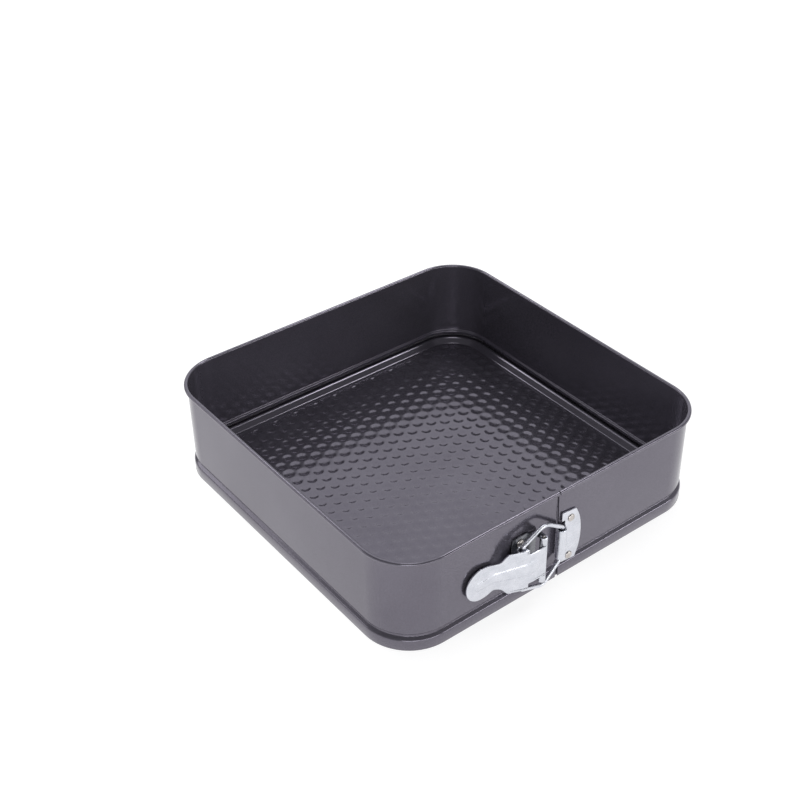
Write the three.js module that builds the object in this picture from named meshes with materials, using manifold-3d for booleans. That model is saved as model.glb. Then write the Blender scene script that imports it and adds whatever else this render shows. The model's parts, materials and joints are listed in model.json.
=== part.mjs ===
// A square springform baking pan: a dimpled base plate held in a two-part side band,
// which a riveted toggle latch closes at the front. Millimetres, +Z up.
// The origin is the centre of the whole object's footprint, on the plane that it stands on.
import * as THREE from 'three';
import { mergeVertices } from 'three/addons/utils/BufferGeometryUtils.js';
import Module from 'manifold-3d';

const wasm = await Module();
wasm.setup();

// Driving dimensions of the pan
const RIM_HALF = 120;          // half the width over the rolled rim
const PAN_HEIGHT = 65;
const SHEET = 0.6;             // thickness of the band and base sheet
const GAP = 0.3;               // clearance between pieces that touch
const RIM_RADIUS = 1.3;        // of the rolled rim's section
const WALL_HALF = RIM_HALF - 2 * RIM_RADIUS + SHEET;   // outside face of the wall
const SKIRT_STEP = 1.1;        // the foot of the band stands this far outside the wall
const SKIRT_HEIGHT = 7.2;
const BEAD_Z = 9.9;            // the ridge that holds the base plate down
const BEAD_DEPTH = 1.2;
const CORNER_CENTRE = 87.8;    // all corner arcs of one corner share this centre, from the pan's axes
const CORNER_STEPS = 9;
const BACK_SPLIT = 0.3;        // where the two halves of the band model meet at the back
const SEAM_X = -4;             // where the band opens at the front
const SEAM_GAP = 1.4;

// Driving dimensions of the base plate
const FLOOR_Z = 3.5;           // top of the floor
const FLOOR_HALF = 111.2;      // the crease where the floor meets the raised lip
const LIP_Z = 6.6;
const LIP_HALF = 116;
const HEM_WIDTH = 3.2;

// Driving dimensions of the latch, measured from a point on the front wall's outside face:
// x along the wall, y up from the latch's middle, z outwards.
const LATCH_Z = 29.2;          // height of the latch's middle above the ground
const PLATE = 1.0;             // thickness of the latch's sheet parts
const PLATE_MID = GAP + PLATE / 2;
const BRACKET_HALF = 18.6;     // half the height of the bracket and of the catch plate
const PIVOT = { x: -22.2, z: 7.5 };        // hinge of the lever
const EAR_HOLE = { x: -36.2, z: 6.4 };     // where the bail's ends sit in the lever
const HOOK = { x: SEAM_X, z: 3.6 };        // where the bail's bar sits in the catch
const PIN_RADIUS = 1.0;
const ROLL_MID = PIN_RADIUS + GAP + PLATE / 2;   // middle radius of a knuckle rolled round the pin
const LEVER_KNUCKLE_HALF = 10.8;
const BRACKET_KNUCKLE = { from: 11.2, to: 16.3 };
const EAR_TOP = 14.4;
const WIRE_RADIUS = 1.15;
const HOOK_HALF = 9.5;
const RIVET_RADIUS = 1.4;
const RIVET_HEAD = { radius: 2.5, height: 1.2 };
const RIVET_TAIL = { radius: 2.1, height: 0.7 };   // the flat end inside the pan
const BRACKET_RIVET = { x: -33.2, y: 15.2 };
const CATCH_RIVET = { x: 5, y: 14 };

const LATCH_REACH = WALL_HALF + PIVOT.z + ROLL_MID + PLATE / 2;   // front of the latch from the pan's axis
const PAN_Y = (LATCH_REACH - RIM_HALF) / 2;

const finish = (color, roughness, metalness) =>
  new THREE.MeshStandardMaterial({ color, roughness, metalness });
const coating = () => finish(0x55525b, 0.5, 0.35);
const zinc = () => finish(0xc6c9d1, 0.32, 0.9);
const rivetSteel = () => finish(0xb9b7b8, 0.28, 0.95);

// Turns a closed three.js geometry into a manifold solid, and back.
function solid(geometry) {
  const bare = geometry.clone();
  bare.deleteAttribute('normal');
  bare.deleteAttribute('uv');
  const merged = mergeVertices(bare, 1e-4);
  return new wasm.Manifold(new wasm.Mesh({
    numProp: 3,
    vertProperties: Float32Array.from(merged.attributes.position.array),
    triVerts: Uint32Array.from(merged.index.array),
  }));
}

function geometryOf(manifold) {
  const mesh = manifold.getMesh();
  const geometry = new THREE.BufferGeometry();
  geometry.setAttribute('position', new THREE.BufferAttribute(Float32Array.from(mesh.vertProperties), 3));
  geometry.setIndex(Array.from(mesh.triVerts));
  return geometry;
}

function named(name, geometry, material) {
  const mesh = new THREE.Mesh(geometry, material);
  mesh.name = name;
  return mesh;
}

// Points on an arc, from one angle to another in degrees, both ends included.
function arc(x, y, radius, from, to, steps) {
  return Array.from({ length: steps + 1 }, (_, k) => {
    const angle = THREE.MathUtils.degToRad(from + (to - from) * k / steps);
    return [x + radius * Math.cos(angle), y + radius * Math.sin(angle)];
  });
}

const shapeOf = (points) => new THREE.Shape(points.map(([x, y]) => new THREE.Vector2(x, y)));

// ---- Band and base: sections swept round a square with rounded corners ----

// A station is a point of the round: a section point at half-width h lies at
// centre + normal * (h - CORNER_CENTRE), on the flat walls and in the corners alike.
function station(x, y, angle) {
  return { x, y, nx: Math.cos(angle), ny: Math.sin(angle) };
}

function corner(signX, signY, from) {
  return Array.from({ length: CORNER_STEPS + 1 }, (_, k) => {
    const angle = THREE.MathUtils.degToRad(from + 90 * k / CORNER_STEPS);
    return station(signX * CORNER_CENTRE, signY * CORNER_CENTRE, angle);
  });
}

const FRONT = -Math.PI / 2;
const BACK = Math.PI / 2;
const wholeRound = () => [...corner(1, -1, -90), ...corner(1, 1, 0), ...corner(-1, 1, 90), ...corner(-1, -1, 180)];
const rightRound = () => [
  station(SEAM_X + SEAM_GAP / 2, -CORNER_CENTRE, FRONT),
  ...corner(1, -1, -90), ...corner(1, 1, 0),
  station(BACK_SPLIT / 2, CORNER_CENTRE, BACK),
];
const leftRound = () => [
  station(-BACK_SPLIT / 2, CORNER_CENTRE, BACK),
  ...corner(-1, 1, 90), ...corner(-1, -1, 180),
  station(SEAM_X - SEAM_GAP / 2, -CORNER_CENTRE, FRONT),
];

function sectionPoints(stations, section) {
  return stations.flatMap((s) => section.flatMap(([h, z]) => {
    const out = h - CORNER_CENTRE;
    return [s.x + s.nx * out, s.y + s.ny * out, z];
  }));
}

// Quads between neighbouring stations, as triangles. wrapSection joins the section's last point to its first.
function sweepFaces(stationCount, sectionCount, closedRound, wrapSection) {
  const faces = [];
  const rounds = closedRound ? stationCount : stationCount - 1;
  const sides = wrapSection ? sectionCount : sectionCount - 1;
  for (let i = 0; i < rounds; i += 1) {
    for (let j = 0; j < sides; j += 1) {
      const a = i * sectionCount + j;
      const b = i * sectionCount + (j + 1) % sectionCount;
      const c = ((i + 1) % stationCount) * sectionCount + j;
      const d = ((i + 1) % stationCount) * sectionCount + (j + 1) % sectionCount;
      faces.push(a, c, b, b, c, d);
    }
  }
  return faces;
}

function meshOf(points, faces) {
  const geometry = new THREE.BufferGeometry();
  geometry.setAttribute('position', new THREE.Float32BufferAttribute(points, 3));
  geometry.setIndex(faces);
  return geometry;
}

// A closed section swept along part of the round, with flat ends.
function sweepOpen(section, stations) {
  const faces = sweepFaces(stations.length, section.length, false, true);
  const flat = section.map(([h, z]) => new THREE.Vector2(h, z));
  const last = (stations.length - 1) * section.length;
  for (const [a, b, c] of THREE.ShapeUtils.triangulateShape(flat, [])) {
    faces.push(a, b, c, last + a, last + c, last + b);
  }
  return meshOf(sectionPoints(stations, section), faces);
}

// A section that starts and ends on flat faces round the axis, swept all the way and closed by two fans.
function sweepDisc(section, stations) {
  const count = section.length;
  const points = sectionPoints(stations, section);
  const faces = sweepFaces(stations.length, count, true, false);
  const under = points.length / 3;
  points.push(0, 0, section[0][1], 0, 0, section[count - 1][1]);
  for (let i = 0; i < stations.length; i += 1) {
    const a = i * count;
    const b = ((i + 1) % stations.length) * count;
    faces.push(under, b, a, under + 1, a + count - 1, b + count - 1);
  }
  return meshOf(points, faces);
}

// The band's section, anticlockwise with the pan's inside on the left: foot, bead, wall and rolled rim.
function bandSection() {
  const outside = WALL_HALF;
  const inside = WALL_HALF - SHEET;
  const foot = WALL_HALF + SKIRT_STEP;
  const rimX = RIM_HALF - RIM_RADIUS;
  const rimZ = PAN_HEIGHT - RIM_RADIUS;
  return [
    [foot - SHEET, 0], [foot, 0],
    [foot, SKIRT_HEIGHT], [foot - 0.4, SKIRT_HEIGHT + 0.6],
    [outside - 0.5, BEAD_Z - 1.2], [outside - BEAD_DEPTH + 0.1, BEAD_Z - 0.4],
    [outside - BEAD_DEPTH + 0.1, BEAD_Z + 0.4], [outside, BEAD_Z + 1.6],
    [outside, rimZ - RIM_RADIUS],
    ...arc(rimX, rimZ, RIM_RADIUS, -80, 180, 10),
    [inside, BEAD_Z + 1.9], [inside - BEAD_DEPTH, BEAD_Z + 0.5],
    [inside - BEAD_DEPTH, BEAD_Z - 0.5], [inside - 0.4, BEAD_Z - 1.6],
    [foot - SHEET, SKIRT_HEIGHT - 0.4],
  ];
}

// The base plate's sheet: floor, raised lip, and a flange turned under into a flat hem to stand on.
function baseSection() {
  const edge = WALL_HALF + SKIRT_STEP - SHEET - GAP;
  return [
    [FLOOR_HALF - 1.5, FLOOR_Z - SHEET], [FLOOR_HALF + 0.2, FLOOR_Z - 0.3],
    [LIP_HALF - 1.4, LIP_Z - 1.1], [LIP_HALF, LIP_Z - SHEET], [edge - SHEET, LIP_Z - 1.9],
    [edge - SHEET, SHEET], [edge - HEM_WIDTH, SHEET], [edge - HEM_WIDTH, 0], [edge, 0],
    [edge, LIP_Z - 1.6], [edge - 0.9, LIP_Z - 0.4], [LIP_HALF, LIP_Z], [LIP_HALF - 1.6, LIP_Z - 0.5],
    [FLOOR_HALF, FLOOR_Z + 0.3], [FLOOR_HALF - 1.5, FLOOR_Z],
  ];
}

// ---- Latch: sheet parts made as a bent strip cut to an outline ----

// A strip of constant thickness along a centreline in plan (x along the wall, y outwards).
function stripShape(line, thickness) {
  const side = (sign) => line.map(([x, y], k) => {
    const [ax, ay] = line[Math.max(k - 1, 0)];
    const [bx, by] = line[Math.min(k + 1, line.length - 1)];
    const length = Math.hypot(bx - ax, by - ay);
    const half = sign * thickness / 2;
    return [x - half * (by - ay) / length, y + half * (bx - ax) / length];
  });
  return shapeOf([...side(1), ...side(-1).reverse()]);
}

// Extrudes a plan shape between two heights of the latch.
function standing(shape, low, high) {
  const geometry = new THREE.ExtrudeGeometry(shape, { depth: high - low, bevelEnabled: false });
  return solid(geometry.rotateX(Math.PI / 2).translate(0, high, 0));
}

// Extrudes an outline seen from the front, far enough to cut through the whole latch.
function through(shape, near = -2, far = 30) {
  const geometry = new THREE.ExtrudeGeometry(shape, { depth: far - near, bevelEnabled: false, curveSegments: 8 });
  return solid(geometry.translate(0, 0, near));
}

const block = (x0, x1, y0, y1, z0, z1) => solid(
  new THREE.BoxGeometry(x1 - x0, y1 - y0, z1 - z0).translate((x0 + x1) / 2, (y0 + y1) / 2, (z0 + z1) / 2));

function circleOutline(x, y, radius) {
  const shape = new THREE.Shape();
  shape.absarc(x, y, radius, 0, 2 * Math.PI);
  return shape;
}

const mirrored = (points) => [...points, ...points.map(([x, y]) => [x, -y]).reverse()];

// Half outlines of the three sheet parts, seen from the front, from one end to the other along the top.
const bracketOutline = () => shapeOf(mirrored([
  [-40.6, 12], [-40, 15.2], [-37.6, 18], [-30, BRACKET_HALF], [-26, BRACKET_KNUCKLE.to], [-18, BRACKET_KNUCKLE.to],
]));
const catchOutline = () => shapeOf(mirrored([
  [-8, HOOK_HALF], [-0.6, HOOK_HALF], [-0.6, HOOK_HALF + 2], [-1.6, HOOK_HALF + 2.8],
  [-1.6, BRACKET_HALF], [9, BRACKET_HALF], [11.3, 11], [12.6, 4],
]));
const leverOutline = () => shapeOf(mirrored([
  ...arc(-64.4, 0, 10.8, 180, 100, 8), [-59, 10.2], [-53, 9.4], [-50, 9.6], [-47.6, 11.6], [-46.6, EAR_TOP - 0.6],
  [-45.6, EAR_TOP], [-34, EAR_TOP], [-34, LEVER_KNUCKLE_HALF], [-19, LEVER_KNUCKLE_HALF],
]));

// The lever's strip: flat handle near the wall, a ramp, a flat front, and a knuckle rolled round the pin.
function leverStrip() {
  const front = PIVOT.z + ROLL_MID;
  return stripShape([
    [-78, 2.1], [-55, 2.1], [-53.2, 2.4], [-36.4, front - 0.7], [-34.4, front - 0.1], [-32.4, front],
    ...arc(PIVOT.x, PIVOT.z, ROLL_MID, 90, -180, 14),
  ], PLATE);
}

function bracketStrip() {
  const legX = PIVOT.x + ROLL_MID;
  return stripShape([
    [-42, PLATE_MID], [legX - 1.4, PLATE_MID], [legX - 0.4, PLATE_MID + 0.4], [legX, PLATE_MID + 1.4],
    ...arc(PIVOT.x, PIVOT.z, ROLL_MID, 0, 255, 14),
  ], PLATE);
}

function catchStrip() {
  const roll = WIRE_RADIUS + GAP + PLATE / 2;
  return stripShape([
    [14, PLATE_MID], [1.2, PLATE_MID], [0.2, PLATE_MID + 0.4],
    ...arc(HOOK.x, HOOK.z, roll, 40, 265, 14),
  ], PLATE);
}

const holeAt = ({ x, y }) => through(circleOutline(x, y, RIVET_RADIUS + GAP), -3, 3);
const pair = (rivet) => [rivet, { x: rivet.x, y: -rivet.y }];
const withRivetHoles = (body, rivet) => pair(rivet).reduce((part, at) => part.subtract(holeAt(at)), body);

function latchBracket() {
  const whole = standing(bracketStrip(), -BRACKET_HALF, BRACKET_HALF).intersect(through(bracketOutline()));
  const room = block(PIVOT.x - 4, -15, -BRACKET_KNUCKLE.from, BRACKET_KNUCKLE.from, -1, 12);
  return withRivetHoles(whole.subtract(room), BRACKET_RIVET);
}

function catchPlate() {
  const whole = standing(catchStrip(), -BRACKET_HALF, BRACKET_HALF).intersect(through(catchOutline()));
  return withRivetHoles(whole, CATCH_RIVET);
}

// Each ear is a tab turned back towards the wall, with a hole for one end of the bail.
function lever() {
  const sheet = standing(leverStrip(), -EAR_TOP, EAR_TOP).intersect(through(leverOutline()));
  const front = PIVOT.z + ROLL_MID;
  const ear = shapeOf([[-34.1, front - 0.3], ...arc(EAR_HOLE.x, EAR_HOLE.z, 2.1, 0, -180, 8), [-39.6, front - 2.1]]);
  const hole = circleOutline(EAR_HOLE.x, EAR_HOLE.z, 1.3);
  const withEar = (body, low) => body.add(standing(ear, low, low + PLATE))
    .subtract(standing(hole, low - 1, low + PLATE + 0.8));
  return withEar(withEar(sheet, EAR_TOP - PLATE), -EAR_TOP);
}

function hingePin() {
  const length = 2 * BRACKET_KNUCKLE.to + 1;
  return new THREE.CylinderGeometry(PIN_RADIUS, PIN_RADIUS, length, 16).translate(PIVOT.x, 0, PIVOT.z);
}

// The bail: a bar in the catch, and two arms that pass over the knuckles and end beside the lever's ears.
function bailWire() {
  const beside = EAR_TOP + GAP + WIRE_RADIUS;
  const at = (share) => HOOK.z + (EAR_HOLE.z - HOOK.z) * share;
  const half = [
    [EAR_HOLE.x, beside, EAR_HOLE.z],
    [-20.6, 21.2, at(0.52)], [-18.9, 21.8, at(0.47)], [-17, 21.2, at(0.41)],
    [HOOK.x - 1.6, 12.9, HOOK.z + 0.1], [HOOK.x - 0.3, 11.8, HOOK.z], [HOOK.x, 10.2, HOOK.z],
  ];
  const points = [...half, ...half.map(([x, y, z]) => [x, -y, z]).reverse()].map((p) => new THREE.Vector3(...p));
  const path = new THREE.CurvePath();
  for (let k = 1; k < points.length; k += 1) path.add(new THREE.LineCurve3(points[k - 1], points[k]));
  return new THREE.ExtrudeGeometry(circleOutline(0, 0, WIRE_RADIUS), {
    steps: 64, curveSegments: 5, extrudePath: path, bevelEnabled: false,
  });
}

// A rivet through a latch plate and the wall: domed head outside, thin flat head inside the pan.
function rivet({ x, y }) {
  const seat = GAP + PLATE + GAP;
  const back = -SHEET - GAP;
  const dome = arc(0, seat, 1, 0, 90, 5).map(([u, v]) => [u * RIVET_HEAD.radius, seat + (v - seat) * RIVET_HEAD.height]);
  const profile = [
    [0, back - RIVET_TAIL.height], [RIVET_TAIL.radius, back - RIVET_TAIL.height], [RIVET_TAIL.radius, back],
    [RIVET_RADIUS, back], [RIVET_RADIUS, seat], ...dome,
  ].map(([u, v]) => new THREE.Vector2(Math.max(u, 0), v));
  return new THREE.LatheGeometry(profile, 16).rotateX(Math.PI / 2).translate(x, y, 0);
}

// The band's halves, with the latch's rivet holes cut through the front wall.
function bandHalf(stations, rivetPosition) {
  const wall = solid(sweepOpen(bandSection(), stations));
  return pair(rivetPosition).reduce((part, at) => {
    const hole = new THREE.CylinderGeometry(RIVET_RADIUS + GAP, RIVET_RADIUS + GAP, 6, 16)
      .translate(at.x, -WALL_HALF, LATCH_Z + at.y);
    return part.subtract(solid(hole));
  }, wall);
}

const pan = new THREE.Group();
pan.position.set(0, PAN_Y, 0);
pan.add(
  named('base_plate', sweepDisc(baseSection(), wholeRound()), coating()),
  named('side_band_left', geometryOf(bandHalf(leftRound(), BRACKET_RIVET)), coating()),
  named('side_band_right', geometryOf(bandHalf(rightRound(), CATCH_RIVET)), coating()),
);

const latch = new THREE.Group();
latch.position.set(0, -WALL_HALF, LATCH_Z);
latch.rotation.x = Math.PI / 2;
latch.add(
  named('latch_bracket', geometryOf(latchBracket()), zinc()),
  named('catch_plate', geometryOf(catchPlate()), zinc()),
  named('latch_lever', geometryOf(lever()), zinc()),
  named('lever_hinge_pin', hingePin(), rivetSteel()),
  named('bail_wire', bailWire(), zinc()),
);
for (const [part, position] of [['bracket', BRACKET_RIVET], ['catch', CATCH_RIVET]]) {
  pair(position).forEach((at, k) => {
    latch.add(named(`${part}_rivet_${['upper', 'lower'][k]}`, rivet(at), rivetSteel()));
  });
}
pan.add(latch);

const model = new THREE.Group();
model.add(pan);

export default model;
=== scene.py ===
# A square springform baking pan: a dimpled base plate in a two-part band that a toggle latch closes.
# Dimensions are in millimetres, apart from the softboxes', and become metres when a mesh is made.
import json
import math

import bmesh
import bpy
from mathutils import Matrix, Vector


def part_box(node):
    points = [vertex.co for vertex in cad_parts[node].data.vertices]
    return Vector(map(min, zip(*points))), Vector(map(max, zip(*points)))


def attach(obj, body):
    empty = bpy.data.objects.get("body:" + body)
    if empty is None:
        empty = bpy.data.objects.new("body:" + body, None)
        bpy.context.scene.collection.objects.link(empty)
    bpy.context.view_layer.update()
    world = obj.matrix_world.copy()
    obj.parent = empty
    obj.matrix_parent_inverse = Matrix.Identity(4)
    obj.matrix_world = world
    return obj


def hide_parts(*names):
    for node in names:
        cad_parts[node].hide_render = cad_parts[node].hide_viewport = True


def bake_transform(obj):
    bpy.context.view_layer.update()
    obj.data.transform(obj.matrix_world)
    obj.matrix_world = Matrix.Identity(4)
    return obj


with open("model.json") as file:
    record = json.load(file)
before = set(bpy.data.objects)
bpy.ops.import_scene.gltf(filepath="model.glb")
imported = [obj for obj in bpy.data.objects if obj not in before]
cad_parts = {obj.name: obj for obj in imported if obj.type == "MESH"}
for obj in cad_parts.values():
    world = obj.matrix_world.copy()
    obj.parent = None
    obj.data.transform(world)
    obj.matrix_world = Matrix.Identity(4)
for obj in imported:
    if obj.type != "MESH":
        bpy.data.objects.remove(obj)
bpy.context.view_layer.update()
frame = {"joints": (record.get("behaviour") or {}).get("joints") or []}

MM = 0.001
joints = {joint["name"]: joint for joint in frame["joints"]}


def in_mm(vector):
    return [value / MM for value in vector]


# ---- Dimensions read from the frame ----
base_low, base_high = (in_mm(corner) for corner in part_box("base_plate"))
_, band_high = (in_mm(corner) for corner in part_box("side_band_right"))
pivot = in_mm(joints["lever_swing"]["pos_m"])
hook = in_mm(joints["bail_swing"]["pos_m"])

PAN_Y = (base_low[1] + base_high[1]) / 2      # centre of the pan; the latch moves the origin off it
RIM_HALF = band_high[0]                       # half the width over the rolled rim
PAN_HEIGHT = band_high[2]
BASE_EDGE = base_high[0]                      # outside of the base plate's flange
LATCH_Z = pivot[2]                            # height of the latch's middle
SEAM_X = hook[0]                              # the band opens under the catch's hook

# ---- Pan ----
SHEET = 0.6                                   # thickness of the band and base sheet
RIM_RADIUS = 1.3                              # of the rolled rim's section
WALL_MID = RIM_HALF - 2 * RIM_RADIUS + SHEET / 2   # middle of the wall's sheet
WALL_HALF = WALL_MID + SHEET / 2              # outside face of the wall
FOOT_MID = WALL_MID + 1.1                     # the band's foot stands outside the wall
GROOVE_MID = WALL_MID - 1.15                  # the groove that holds the base plate down
CORNER_CENTRE = 87.8                          # all arcs of one corner share this centre
CORNER_STEPS = 28
BACK_CUT = 80.0                               # the band's back section spans this far each way
SEAM_LEAN, SEAM_UPRIGHT_Z = 0.026, 9          # the seam leans to the left as it rises
SEAM_WIDTHS = ((44, 2.1), (60, 1.5), (63.5, 0.6))   # heights and widths: it closes up to the rim

FLOOR_Z = 3.5                                 # top of the floor
FIELD_HALF = 106.3                            # the dimpled field is cut off here
FIELD_EDGE = 0.9                              # width of the step up from a cut dimple
FIELD_STEP = ((0.17, 0.06), (0.83, 0.94))     # shares of that width and of the step's height
DIMPLE_COLUMN = 8.1                           # spacing in X; odd columns are shifted half a pitch in Y
DIMPLE_PITCH = 9.2                            # spacing in Y
DIMPLE_FLAT = 1.3                             # radius of a dimple's flat bottom
DIMPLE_RADIUS = 4.2
DIMPLE_DEPTH = 0.40
DIMPLE_SHIFT = (-1.6, 49.8)                   # centre of one dimple, from the pan's centre
TOP_RINGS = (DIMPLE_FLAT, 1.8, 2.3, 2.75, 3.2, 3.7, DIMPLE_RADIUS)   # radii of a dimple's mesh rings
UNDER_RINGS = (DIMPLE_FLAT, 2.3, 3.2, DIMPLE_RADIUS)   # the same on the underside

# ---- Latch, in its own axes: x along the wall, y up from its middle, z out from the wall ----
PLATE = 1.0                                   # thickness of the latch's sheet
PLATE_MID = 0.3 + PLATE / 2                   # middle of a plate that lies on the wall
PIVOT = (pivot[0], PAN_Y - WALL_HALF - pivot[1])   # the lever's hinge, as (x, z)
HOOK = (hook[0], PAN_Y - WALL_HALF - hook[1])      # the bail's bar in the hook, as (x, z)
EAR_HOLE = (-36.2, 6.4)                       # the bail's ends in the lever's ears, as (x, z)
PIN_RADIUS = 1.0
ROLL_MID = PIN_RADIUS + 0.3 + PLATE / 2       # middle of the sheet that is rolled round the pin
FRONT = PIVOT[1] + ROLL_MID                   # middle of the lever's sheet in front of the pin
EAR_TOP = 14.4
KNUCKLE_HALF = 10.8                           # the lever's knuckle, between the bracket's two
BRACKET_HALF = 18.6
BRACKET_KNUCKLE = (11.2, 16.3)
HANDLE_END, HANDLE_RADIUS = (-62.4, 0.5), 11.2     # the round end of the lever
SPINE_START, SPINE_END = -65.1, -30.7         # centres of the round ends of the lever's pressed spine
SPINE_RISE = 0.62
SPINE_CONTOURS = (0.85, 0.5, 0.2, -0.15, -0.5, -0.9)   # the mesh's loops, out from the spine's edge
WIRE_RADIUS = 1.25
HOOK_TOP, HOOK_LOW = 9.8, -11.6
BRACKET_RIVETS = ((-34.1, 14.3), (-34.1, -14.3))
CATCH_RIVETS = ((4.7, 11.8), (4.7, -16.5))

# ---- Camera and stage ----
CAMERA_OFFSET = (-419.4, -522.4, 541.6)       # from the pan's centre on the ground
CAMERA_AZIMUTH, CAMERA_ELEVATION, CAMERA_ROLL = -37.01, 35.79, -1.05
CAMERA_LENS = 60.234
BACKDROP_TOWARD = (0.45, 0.6, 0.66)           # middle of the bright backdrop
BACKDROP_FADE = (38, 54)                      # degrees from its middle
BACKDROP_LEVEL = 1.12
HORIZON_LEVEL, ROOM_LEVEL = 0.36, 0.16        # round the table, and the room over it
HORIZON_FADE = (26, 50)                       # degrees up
TABLE_REACH = 6.0                             # in metres, half the table's width
TABLE_GLOW = (0.81, 0.91)                     # in front of the pan, and on its left
SOFTBOXES = {                                 # place, turns about X, Y and Z, size, watts; in metres
    "right": ((1.2, 0.02, 2.1), (0, 0, 0), (0.5, 0.66), 8),
    "back": ((-0.2, 1.8, 2.1), (0, 0, 0), (0.6, 0.5), 4.5),
    "middle": ((0.03, 0.04, 2.1), (0, 0, 0), (0.5, 0.5), 2.5),
    "front_right": ((1.0, -1.35, 0.48), (74, 0, 36.5), (0.9, 0.26), 5),
    "front_left": ((-1.0, -1.35, 0.48), (74, 0, -36.5), (0.9, 0.26), 5),
    "front": ((-0.05, -1.7, 0.48), (74, 0, -2), (1.0, 0.26), 4),
    "back_left": ((-1.13, 1.25, 0.58), (72, 0, 222), (1.2, 0.4), 2.6),
}


# ================= Plane geometry =================
def arc(x, y, radius, start, end, steps):
    """Points on an arc between two angles in degrees, both ends included."""
    turns = [math.radians(start + (end - start) * k / steps) for k in range(steps + 1)]
    return [(x + radius * math.cos(t), y + radius * math.sin(t)) for t in turns]


def rounded(points, radii, steps, closed=False):
    """The polyline with each corner turned into an arc; radii has one number per point."""
    out = []
    for k, point in enumerate(points):
        if not closed and k in (0, len(points) - 1) or radii[k] <= 0:
            out.append(tuple(point))
            continue
        here = Vector(point)
        before = Vector(points[k - 1]) - here
        after = Vector(points[(k + 1) % len(points)]) - here
        half = before.angle(after) / 2
        reach = min(radii[k] / math.tan(half), before.length * 0.49, after.length * 0.49)
        size = reach * math.tan(half)
        middle = here + (before.normalized() + after.normalized()).normalized() * size / math.sin(half)
        first = here + before.normalized() * reach - middle
        last = here + after.normalized() * reach - middle
        turn = math.atan2(first.x * last.y - first.y * last.x, first.dot(last))
        for i in range(steps + 1):
            out.append(tuple(middle + Matrix.Rotation(turn * i / steps, 2) @ first))
    return out


def smooth_line(points, steps):
    """A Catmull-Rom curve through the points."""
    out = []
    for k in range(len(points) - 1):
        a = Vector(points[max(k - 1, 0)])
        b, c = Vector(points[k]), Vector(points[k + 1])
        d = Vector(points[min(k + 2, len(points) - 1)])
        for i in range(steps):
            t = i / steps
            out.append(tuple(0.5 * (2 * b + (c - a) * t + (2 * a - 5 * b + 4 * c - d) * t * t
                                    + (3 * b - a - 3 * c + d) * t ** 3)))
    return out + [tuple(points[-1])]


def edge_normals(points, closed):
    """Normals at each point, to the left of the way along the line, and longer at a corner."""
    count = len(points)
    out = []
    for k in range(count):
        a = Vector(points[(k - 1) % count] if closed else points[max(k - 1, 0)])
        b = Vector(points[k])
        c = Vector(points[(k + 1) % count] if closed else points[min(k + 1, count - 1)])
        first = (b - a).normalized() if (b - a).length > 1e-9 else (c - b).normalized()
        last = (c - b).normalized() if (c - b).length > 1e-9 else first
        middle = (first + last).normalized()
        stretch = 1 / max(middle.dot(last), 0.5)
        out.append(Vector((-middle.y, middle.x)) * stretch)
    return out


def offset(points, distance, closed=True):
    """The line moved to its left by a distance."""
    normals = edge_normals(points, closed)
    return [tuple(Vector(p) + n * distance) for p, n in zip(points, normals)]


def sheet_outline(line, thickness):
    """Closed section of a sheet along its middle line, with rounded ends."""
    left, right = (offset(line, side * thickness / 2, False) for side in (1, -1))

    def cap(point, toward, start):
        centre, way = Vector(point), (Vector(point) - Vector(toward)).normalized()
        side = Vector((-way.y, way.x))
        turns = [start * math.radians(a) for a in (60, 20, -20, -60)]
        return [tuple(centre + (way * math.cos(a) * 0.6 + side * math.sin(a)) * thickness / 2)
                for a in turns]

    return right + cap(line[-1], line[-2], -1) + left[::-1] + cap(line[0], line[1], -1)


# ================= Meshes =================
def finish_mesh(piece_name, mesh, material, sharp=40):
    mesh.materials.append(material)
    mesh.shade_smooth()
    mesh.set_sharp_from_angle(angle=math.radians(sharp))
    piece = bpy.data.objects.new(piece_name, mesh)
    bpy.context.scene.collection.objects.link(piece)
    return piece


def tube_faces(rings, segments):
    """Faces of a tube with closed ends, whose rings of points follow each other."""
    faces = []
    for start in range(0, (rings - 1) * segments, segments):
        for k in range(segments):
            after = (k + 1) % segments
            faces.append((start + k, start + after, start + segments + after, start + segments + k))
    last = (rings - 1) * segments
    faces.append(tuple(range(segments)))
    faces.append(tuple(range(last + segments - 1, last - 1, -1)))
    return faces


def piece_from(piece_name, points, faces, material):
    """A mesh piece from points in millimetres, its faces turned outwards."""
    mesh = bpy.data.meshes.new(piece_name)
    mesh.from_pydata([[value * MM for value in point] for point in points], [], faces)
    work = bmesh.new()
    work.from_mesh(mesh)
    bmesh.ops.remove_doubles(work, verts=work.verts[:], dist=0.002 * MM)
    bmesh.ops.recalc_face_normals(work, faces=work.faces[:])
    work.to_mesh(mesh)
    work.free()
    return finish_mesh(piece_name, mesh, material)


def add_piece(piece, body, slot, *nodes):
    """Let a piece ride a body and stand for some of the frame's nodes."""
    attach(piece, body)
    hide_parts(*nodes)


# ================= Sweeps round the pan =================
def station(x, y, angle):
    """A place on the square of corner centres, and the way out from it."""
    return x, y, math.cos(angle), math.sin(angle)


def corner(sign_x, sign_y, start):
    """The stations of a quarter turn about one corner's centre."""
    angles = [math.radians(start + 90 * k / CORNER_STEPS) for k in range(CORNER_STEPS + 1)]
    return [station(sign_x * CORNER_CENTRE, sign_y * CORNER_CENTRE, angle) for angle in angles]


def at_station(place, h, z):
    """The point at a half-width h and a height z, out from a station."""
    x, y, nx, ny = place
    out = h - CORNER_CENTRE
    return x + nx * out, y + ny * out + PAN_Y, z


def seam_half(z):
    """Half the seam's gap at a height: the ends come together towards the rim."""
    (z0, width), *rest = SEAM_WIDTHS
    for z1, next_width in rest:
        width += (next_width - width) * min(max((z - z0) / (z1 - z0), 0), 1)
        z0 = z1
    return width / 2


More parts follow.
